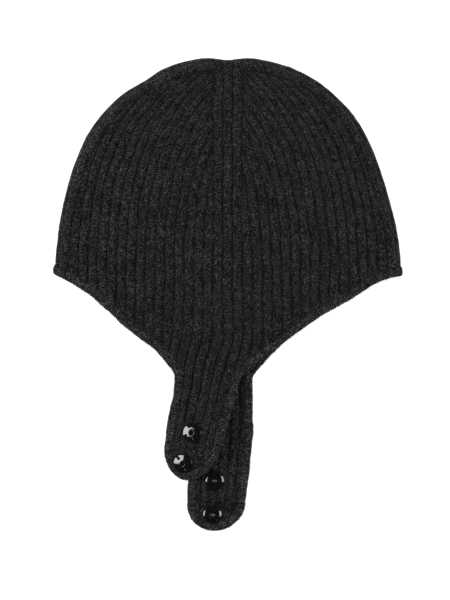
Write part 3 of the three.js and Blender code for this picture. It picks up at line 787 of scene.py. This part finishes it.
# The edging: a narrow strip of fine knitting, folded over the cap's raw rim and linked on all the
# way round, down one strap and up the next. Its courses run across it and show as small ridges.
EDGING_THICK = 3.3
EDGING_ROUND = 1.2  # radius of its corners
EDGING_RIDGE = 1.55  # one ridge to the next
EDGING_LAP = 0.5  # it covers this much of the cloth
EDGING_OUTER = EDGING + 0.6
RIDGE_SINK = 0.75  # the hollows between ridges, as a share of a ridge
edge_line = rim_middle + rim_out * ((EDGING_OUTER - EDGING_LAP) / 2)
edge_length = np.linalg.norm(np.roll(edge_line, -1, 0) - edge_line, axis=1).sum()


def ring_mesh(name, rings, ways):
    """Closed lines of points, each with the way that the cloth faces."""
    mesh = bpy.data.meshes.new(name)
    ids = np.arange(len(rings[0]))
    joined = [np.stack([ids, np.roll(ids, -1)], 1) + k * len(ids) for k in range(len(rings))]
    mesh.from_pydata(place_in_frame(join(rings)).tolist(), join(joined).tolist(), [])
    cloth_facing = mesh.attributes.new("cloth_facing", "FLOAT_VECTOR", "POINT")
    cloth_facing.data.foreach_set("vector", join(ways).ravel())
    return mesh


sizes = {
    "Width": (EDGING_OUTER + EDGING_LAP) * MM,
    "Thickness": EDGING_THICK * MM,
    "Ridges": int(round(edge_length / EDGING_RIDGE)),
    "Ridge Height": 0.6 * MM,
    "Unevenness": 0.9 * MM,
    "Wool": "Material",
}
strip, given, result = shape_tree("linked_edging", sizes)
line = node(strip, "GeometryNodeMeshToCurve", {"Mesh": given["Geometry"]})
steps = maths(strip, "MULTIPLY", given["Ridges"], 5.0)
even = node(strip, "GeometryNodeResampleCurve", {"Curve": line, "Count": steps})
up = node(strip, "GeometryNodeInputNamedAttribute", {"Name": "cloth_facing"}, data_type="FLOAT_VECTOR")
upright = node(strip, "GeometryNodeSetCurveNormal", {"Curve": even, "Normal": up}, mode="FREE")
kept = node(strip, "GeometryNodeCaptureAttribute", {"Geometry": upright})
kept.capture_items.new("FLOAT", "share")
strip.links.new(node(strip, "GeometryNodeSplineParameter").outputs["Factor"], kept.inputs["share"])
inputs = {"Width": given["Thickness"], "Height": given["Width"]}
section = node(strip, "GeometryNodeCurvePrimitiveQuadrilateral", inputs)
inputs = {"Curve": section, "Radius": EDGING_ROUND * MM, "Count": 2}
rounded = node(strip, "GeometryNodeFilletCurve", inputs, mode="POLY")
swept = node(strip, "GeometryNodeCurveToMesh", {"Curve": kept, "Profile Curve": rounded})
phase = maths(strip, "MULTIPLY", maths(strip, "MULTIPLY", kept.outputs["share"], given["Ridges"]), math.pi)
ridge = maths(strip, "SUBTRACT", maths(strip, "ABSOLUTE", maths(strip, "SINE", phase)), RIDGE_SINK)
lump = node(strip, "ShaderNodeTexNoise", {"Scale": 420.0, "Detail": 1.0}).outputs["Fac"]
lumpy = maths(strip, "MULTIPLY", maths(strip, "SUBTRACT", lump, 0.5), given["Unevenness"])
standing = maths(strip, "MULTIPLY_ADD", ridge, given["Ridge Height"], lumpy)
inputs = {0: node(strip, "GeometryNodeInputNormal").outputs["Normal"], "Scale": standing}
swell = node(strip, "ShaderNodeVectorMath", inputs, operation="SCALE")
ridged = node(strip, "GeometryNodeSetPosition", {"Geometry": swept, "Offset": swell})
finish_tree(strip, ridged, given["Wool"], result)

edging_wool = wool("edging_wool", pale=(0.048, 0.048, 0.051, 1))
edging_path = ring_mesh("edging_path", [edge_line], [rim_normal])
edging = grow("knitted_edging", edging_path, strip, Wool=edging_wool)
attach(edging, "root")
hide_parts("edging")

edging_hairs = edging.data.copy()
mark(edging_hairs, "hairy", [1.0] * len(edging_hairs.vertices))
edging_fibres = grow("edging_fibres", edging_hairs, halo, Wool=hair_wool, Seed=23)
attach(edging_fibres, "root")

# The linking chain: a row of slanting stitches in the same yarn that joins the edging to the cap,
# pulled tight into the groove between them, on the outside and on the inside of the cloth.
SUNK = 0.1  # how far it lies in from the edging's lap and from its surface
sizes = {
    "Spacing": 2.0 * MM,
    "Stitch Length": 2.1 * MM,
    "Stitch Width": 0.95 * MM,
    "Slant": 0.55,
    "Wool": "Material",
}
chain, given, result = shape_tree("linking_chain", sizes)
line = node(chain, "GeometryNodeMeshToCurve", {"Mesh": given["Geometry"]})
inputs = {"Curve": line, "Length": given["Spacing"]}
spaced = node(chain, "GeometryNodeResampleCurve", inputs, mode="LENGTH")
up = node(chain, "GeometryNodeInputNamedAttribute", {"Name": "cloth_facing"}, data_type="FLOAT_VECTOR")
inputs = {"Vector": node(chain, "GeometryNodeInputTangent")}
along_line = node(chain, "FunctionNodeAlignRotationToVector", inputs, axis="X")
inputs = {"Rotation": along_line, "Vector": up}
flat_on = node(chain, "FunctionNodeAlignRotationToVector", inputs, axis="Z", pivot_axis="X")
slant = node(chain, "ShaderNodeCombineXYZ", {"Z": given["Slant"]})
slant = node(chain, "FunctionNodeEulerToRotation", {"Euler": slant})
inputs = {"Rotation": flat_on, "Rotate By": slant}
slanting = node(chain, "FunctionNodeRotateRotation", inputs, rotation_space="LOCAL")
bead = node(chain, "GeometryNodeMeshUVSphere", {"Segments": 6, "Rings": 4, "Radius": 0.5})
inputs = {"X": given["Stitch Length"], "Y": given["Stitch Width"], "Z": given["Stitch Width"]}
size = node(chain, "ShaderNodeCombineXYZ", inputs)
inputs = {"Points": spaced, "Instance": bead, "Rotation": slanting, "Scale": size}
stitches = node(chain, "GeometryNodeInstanceOnPoints", inputs)
finish_tree(chain, stitches, given["Wool"], result)

groove = rim_middle - rim_out * (EDGING_LAP + SUNK)
seam_height = EDGING_THICK / 2 - SUNK
seam_rings = [groove + rim_normal * seam_height, groove - rim_normal * seam_height]
seam_mesh = ring_mesh("seam_path", seam_rings, [rim_normal, -rim_normal])
linking_wool = wool("linking_wool", pale=(0.024, 0.024, 0.026, 1))
linking = grow("linking_stitches", seam_mesh, chain, Wool=linking_wool)
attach(linking, "root")

# The press studs: two pairs, turned and pressed from brass and lacquered glossy black. A socket is
# a soft dome with a hole in the middle, a ball stud a flat flange with a small ball on a neck.
STUD = 6.4  # radius
SEWING_CIRCLE = 4.5
SEWING_HOLE = 0.85
COUNTERSINK = 0.32
SOCKET_MIDDLE, SOCKET_RIM = 1.95, 0.99  # heights of the socket's dome
FLANGE_MIDDLE, FLANGE_RIM = 1.25, 0.35  # heights of the ball's flange
FLANGE_FLAT, FLANGE_FALL = 3.1, 3.1  # radius of its flat part, and how late the rest falls away
AROUND = 64  # points round a stud
SHARP = 38  # degrees, above which an edge shows as one


def dome(radius):
    return SOCKET_MIDDLE - (SOCKET_MIDDLE - SOCKET_RIM) * (radius / STUD) ** 2


def flange(radius):
    fallen = np.maximum(radius - FLANGE_FLAT, 0) / (STUD - FLANGE_FLAT)
    return FLANGE_MIDDLE - (FLANGE_MIDDLE - FLANGE_RIM) * fallen**FLANGE_FALL


def arc(middle_r, middle_z, radius, first, last, steps):
    """Points round a circle in the profile, angles in degrees from straight out."""
    for angle in np.radians(np.linspace(first, last, steps)):
        yield middle_r + radius * math.cos(angle), middle_z + radius * math.sin(angle)


# each profile's radii and heights, from its underside round the rim to the middle of its top
socket_profile = [
    (5.9, 0.0),
    *arc(6.18, 0.22, 0.22, -80, 0, 4),
    *arc(6.12, 0.76, 0.28, 0, 70, 5),
    *((r, float(dome(r))) for r in np.linspace(5.9, 2.3, 12)),
    *arc(1.85, 1.78, 0.32, 70, 180, 7),
    (1.5, 1.0),
    (1.5, 0.5),
    (0.9, 0.45),
]
ball_profile = [
    (5.9, 0.0),
    *arc(6.22, 0.18, 0.18, -80, 60, 5),
    *((r, float(flange(r))) for r in np.linspace(6.25, 3.1, 12)),
    *arc(2.45, 1.1, 0.2, 60, 150, 4),
    (1.6, 1.02),
    (1.22, 1.1),
    (1.12, 1.5),
    (1.26, 1.78),
    *arc(0.72, 1.98, 0.73, 0, 80, 7),
]


def turned_piece(name, profile, cuts=()):
    """Turns a profile about its axis, closed at both poles, and cuts holes through it."""
    turns = np.arange(AROUND) * 2 * math.pi / AROUND
    r, z = np.array(profile).T
    rings = [np.outer(r, np.cos(turns)), np.outer(r, np.sin(turns)), np.outer(z, np.ones(AROUND))]
    points = join([np.stack(rings, -1).reshape(-1, 3), [(0, 0, z[0])], [(0, 0, z[-1])]])
    ids = np.arange(len(r) * AROUND).reshape(len(r), AROUND)
    after = np.roll(ids, -1, 1)
    squares = np.stack([ids[:-1], after[:-1], after[1:], ids[1:]], -1).reshape(-1, 4)
    polygons = [tuple(square) for square in squares.tolist()]
    low, high = len(points) - 2, len(points) - 1
    polygons += [(low, b, a) for a, b in zip(ids[0].tolist(), after[0].tolist())]
    polygons += [(high, a, b) for a, b in zip(ids[-1].tolist(), after[-1].tolist())]
    body = mesh_object(name, points, polygons)
    for cut in cuts:
        modifier = body.modifiers.new("sewing_hole", "BOOLEAN")
        modifier.object = cut
        modifier.operation = "DIFFERENCE"
    bpy.context.view_layer.update()
    shaped = bpy.data.meshes.new_from_object(body.evaluated_get(bpy.context.evaluated_depsgraph_get()))
    bpy.data.objects.remove(body)
    return shaped


def sewing_holes(surface):
    """Four countersunk cutters, one for each sewing hole."""
    top = float(surface(np.array(SEWING_CIRCLE)))
    wide = SEWING_HOLE + COUNTERSINK
    drill = [(SEWING_HOLE, -1.0), (SEWING_HOLE, top - 0.3), (wide, top + 0.1), (wide, 4.0)]
    cutters = []
    for k in range(4):
        angle = (k + 0.5) * math.pi / 2
        away = Matrix.Translation((SEWING_CIRCLE * math.cos(angle), SEWING_CIRCLE * math.sin(angle), 0))
        mesh = turned_piece(f"drill_{k}", drill)
        mesh.transform(away)
        cutters.append(place_object(f"drill_{k}", mesh))
    return cutters


def press_stud(name, profile, surface):
    """One half of a press stud about the +Z axis, in millimetres, with its rubbed places marked."""
    cutters = sewing_holes(surface)
    mesh = turned_piece(name, profile, cutters)
    for cutter in cutters:
        bpy.data.objects.remove(cutter)
    mesh.polygons.foreach_set("use_smooth", [True] * len(mesh.polygons))
    mesh.set_sharp_from_angle(angle=math.radians(SHARP))
    at = np.zeros(len(mesh.vertices) * 3)
    mesh.vertices.foreach_get("co", at)
    x, y, z = at.reshape(-1, 3).T
    r = np.hypot(x, y)
    on_ball = smooth(z, 2.5, 2.75) * (r < 1.6)
    on_lip = smooth(z, 1.85, 2.05) * smooth(r, 1.45, 1.6) * (1 - smooth(r, 1.9, 2.3))
    mark(mesh, "rubbed", np.maximum(on_ball, 0.3 * on_lip))
    # the faces in a socket's mouth take its second material, a painted shade
    in_mouth = (z < 1.5) & (r < 1.6) & (profile is socket_profile)
    inner = [int(in_mouth[list(face.vertices)].all()) for face in mesh.polygons]
    mesh.polygons.foreach_set("material_index", inner)
    return mesh


def black_lacquer():
    """Glossy black lacquer, rubbed through to the brass where the two halves meet."""
    lacquer, brass = (0.0025, 0.0025, 0.003, 1), (0.2, 0.135, 0.075, 1)
    material, tree, shader = new_material("black_lacquer", {"Specular IOR Level": 0.55})
    where = node(tree, "ShaderNodeTexCoord").outputs["Object"]
    patchy = maths(tree, "MULTIPLY_ADD", noise(tree, where, 2600.0), 0.5, marked(tree, "rubbed"))
    bare = ramp(tree, patchy, 0.78, 1.05)
    tree.links.new(mix_colour(tree, bare, lacquer, brass), shader["Base Color"])
    tree.links.new(bare, shader["Metallic"])
    dull = ramp(tree, noise(tree, where, 700.0, 4.0), 0.35, 0.75, 0.05, 0.13)
    tree.links.new(maths(tree, "MULTIPLY_ADD", bare, 0.22, dull), shader["Roughness"])
    emboss(tree, shader, noise(tree, where, 1100.0), 0.06, 0.1)
    return material


def seat_on(side, across, up, tilt):
    """The place of a stud on a strap: across and up are shares of the strap's half width, and tilt
    has its nod, its lean and how far it is turned, in degrees."""
    x, y = across * STRAP_HALF, side_of[side]["end"] + up * STRAP_HALF
    reach = STUD / math.sqrt(2)
    corners = [(reach, 0), (-reach, 0), (0, reach), (0, -reach)]
    right, left, above, below = (lay(side, np.array(x + dx), np.array(y + dy), 0) for dx, dy in corners)
    up_way = Vector(np.cross(right - left, above - below)).normalized()
    spot = (right + left + above + below) / 4 + np.array(up_way) * (THICK / 2)
    turn = Vector((0, 0, 1)).rotation_difference(up_way).to_matrix().to_4x4()
    nod, lean_over, spin = (Matrix.Rotation(math.radians(by), 4, axis) for by, axis in zip(tilt, "XYZ"))
    return Matrix.Scale(MM, 4) @ Matrix.Translation(Vector(spot + shift)) @ turn @ nod @ lean_over @ spin


def soot_black():
    """Painted shade for a socket's mouth: matt near-black with almost no gloss, where the hole lies in
    shade.
    """
    finish = {"Base Color": (0.002, 0.002, 0.0022, 1), "Roughness": 0.9, "Specular IOR Level": 0.05}
    return new_material("socket_mouth_shade", finish)[0]


lacquer = black_lacquer()
mouth_shade = soot_black()
stud_rows = (
    ("socket_high", UPPER, -0.108, 1.644, (-4, -3, -20), socket_profile, dome),
    ("socket_low", UPPER, -0.382, 0.341, (3, 0, -8), socket_profile, dome),
    ("ball_stud_high", UNDER, -0.163, 1.757, (0, 1, 4), ball_profile, flange),
    ("ball_stud_low", UNDER, -0.135, 0.327, (-1, 5, -6), ball_profile, flange),
)
seats = {}
for node_name, side, across, up, tilt, profile, surface in stud_rows:
    stud_mesh = press_stud(node_name + "_lacquered", profile, surface)
    seats[node_name] = seat_on(side, across, up, tilt)
    stud_mesh.transform(seats[node_name])
    stud_mesh.materials.append(lacquer)
    if profile is socket_profile:
        stud_mesh.materials.append(mouth_shade)
    stud = place_object(node_name + "_lacquered", stud_mesh)
    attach(stud, "root")
    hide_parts(node_name)

# The sewing: each stud is sewn on by hand with black thread, five strands from every hole over the
# flange's edge and down into the cloth.
STRANDS = 5
STRAND_GAP = 0.34
THREAD = 0.4  # thickness
HOLE_STRAY, STRAND_STRAY = 0.08, 0.06  # how uneven the sewing is
CROSSING, END_STRAY = 0.16, (-0.1, 0.3)
sizes = {"Thickness": THREAD * MM, "Steps": 14, "Thread": "Material"}
sewing, given, result = shape_tree("sewing_thread", sizes)
line = node(sewing, "GeometryNodeMeshToCurve", {"Mesh": given["Geometry"]})
soft = node(sewing, "GeometryNodeCurveSplineType", {"Curve": line}, spline_type="CATMULL_ROM")
even = node(sewing, "GeometryNodeResampleCurve", {"Curve": soft, "Count": given["Steps"]})
finish_tree(sewing, strand(sewing, even, given["Thickness"], 6), given["Thread"], result)


def black_thread():
    """Spun black thread, with its twist as fine slanting lines."""
    material, tree, shader = new_material("black_thread", {"Roughness": 0.7, "Specular IOR Level": 0.12})
    where = node(tree, "ShaderNodeTexCoord").outputs["Object"]
    inputs = {"Vector": where, "Scale": 1500.0, "Distortion": 3.0}
    twist = node(tree, "ShaderNodeTexWave", inputs).outputs["Fac"]
    colour = mix_colour(tree, twist, (0.0006, 0.0006, 0.0008, 1), (0.0028, 0.0028, 0.0032, 1))
    tree.links.new(colour, shader["Base Color"])
    emboss(tree, shader, twist, 0.5, 0.1)
    return material


thread = black_thread()
chance = np.random.default_rng(5)
for node_name, side, across, up, tilt, profile, surface in stud_rows:
    points, edges = [], []
    for hole in range(4):
        angle = (hole + 0.5) * math.pi / 2 + chance.uniform(-HOLE_STRAY, HOLE_STRAY)
        out_way = np.array([math.cos(angle), math.sin(angle), 0])
        side_way = np.array([-math.sin(angle), math.cos(angle), 0])
        for k in range(STRANDS):
            stray = chance.uniform(-STRAND_STRAY, STRAND_STRAY)
            beside = (k - (STRANDS - 1) / 2) * STRAND_GAP + stray
            over = THREAD / 2 + chance.uniform(0, CROSSING)
            # radius, height, and how far the strands spread, from the hole out and down
            route = (
                (4.75, 0.3, 0.45),
                (4.95, float(surface(np.array(4.9))) - 0.05, 0.7),
                (5.45, float(surface(np.array(5.4))) + over, 0.95),
                (6.1, float(surface(np.array(6.1))) + over, 1.05),
                (6.62, 0.45, 1.1),
                (6.8 + chance.uniform(*END_STRAY), -0.2, 1.15),
                (6.9, -0.9, 1.0),
            )
            first = len(points)
            points += [out_way * r + side_way * beside * spread + (0, 0, z) for r, z, spread in route]
            edges += [(first + j, first + j + 1) for j in range(len(route) - 1)]
    mesh = bpy.data.meshes.new(node_name + "_thread")
    mesh.from_pydata(points, edges, [])
    mesh.transform(seats[node_name])
    sewn = grow(node_name + "_thread", mesh, sewing, Thread=thread)
    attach(sewn, "root")

# The studio: a sheet of white paper, one large soft box on each side and one overhead, and the
# camera straight above, far enough away that the hat shows without perspective. Sizes in metres.
PAPER_HALF, PAPER_DROP = 4, 0.0005
floor = bpy.data.meshes.new("studio_floor")
corners = [(-PAPER_HALF, -PAPER_HALF, 0), (PAPER_HALF, -PAPER_HALF, 0)]
corners += [(PAPER_HALF, PAPER_HALF, 0), (-PAPER_HALF, PAPER_HALF, 0)]
floor.from_pydata(corners, [], [(0, 1, 2, 3)])
floor.materials.append(new_material("white_paper", {"Base Color": (0.9, 0.9, 0.9, 1), "Roughness": 0.9})[0])
floor_object = place_object("studio_floor", floor)
floor_object.location.z = -PAPER_DROP


def softbox(name, at, size, power, glossy=True):
    """A lamp turned towards the middle of the hat."""
    light = bpy.data.lights.new(name, "AREA")
    light.shape = "RECTANGLE"
    light.size, light.size_y = size
    light.energy = power
    lamp = place_object(name, light)
    lamp.location = at
    lamp.rotation_euler = (Vector((0, 0, 0.01)) - Vector(at)).to_track_quat("-Z", "Y").to_euler()
    lamp.visible_camera = False
    lamp.visible_glossy = glossy


softbox("softbox_left", (-1.35, 0.15, 1.0), (0.9, 1.3), 42)
softbox("softbox_right", (1.35, 0.1, 1.05), (0.9, 1.3), 34)
softbox("overhead", (0, 0.3, 2.6), (2.4, 2.4), 60, glossy=False)

# The room is pale but for what the lacquer mirrors, which is the dark above the lamps.
world = bpy.data.worlds.new("studio")
world.use_nodes = True
room = world.node_tree
background = room.nodes["Background"].inputs
background["Color"].default_value = (0.9, 0.9, 0.9, 1)
mirrored = node(room, "ShaderNodeLightPath").outputs["Is Glossy Ray"]
room.links.new(ramp(room, mirrored, 0.0, 1.0, 0.25, 0.01), background["Strength"])
bpy.context.scene.world = world

PIXEL = 0.661 * MM  # at the hat's middle height
WIDE, HIGH = 450, 600  # pixels
ORIGIN_ACROSS, ORIGIN_DOWN = 228, 294.43  # the frame's origin in the photograph
CAMERA_HEIGHT, HAT_MIDDLE = 2.2, 0.01
camera_data = bpy.data.cameras.new("camera")
camera_data.sensor_width = 36
camera_data.lens = 36 * (CAMERA_HEIGHT - HAT_MIDDLE) / (HIGH * PIXEL)
camera_data.clip_end = 20
camera = place_object("camera", camera_data)
camera.location = ((WIDE / 2 - ORIGIN_ACROSS) * PIXEL, (ORIGIN_DOWN - HIGH / 2) * PIXEL, CAMERA_HEIGHT)
bpy.context.scene.camera = camera
bpy.context.scene.view_settings.view_transform = "Standard"
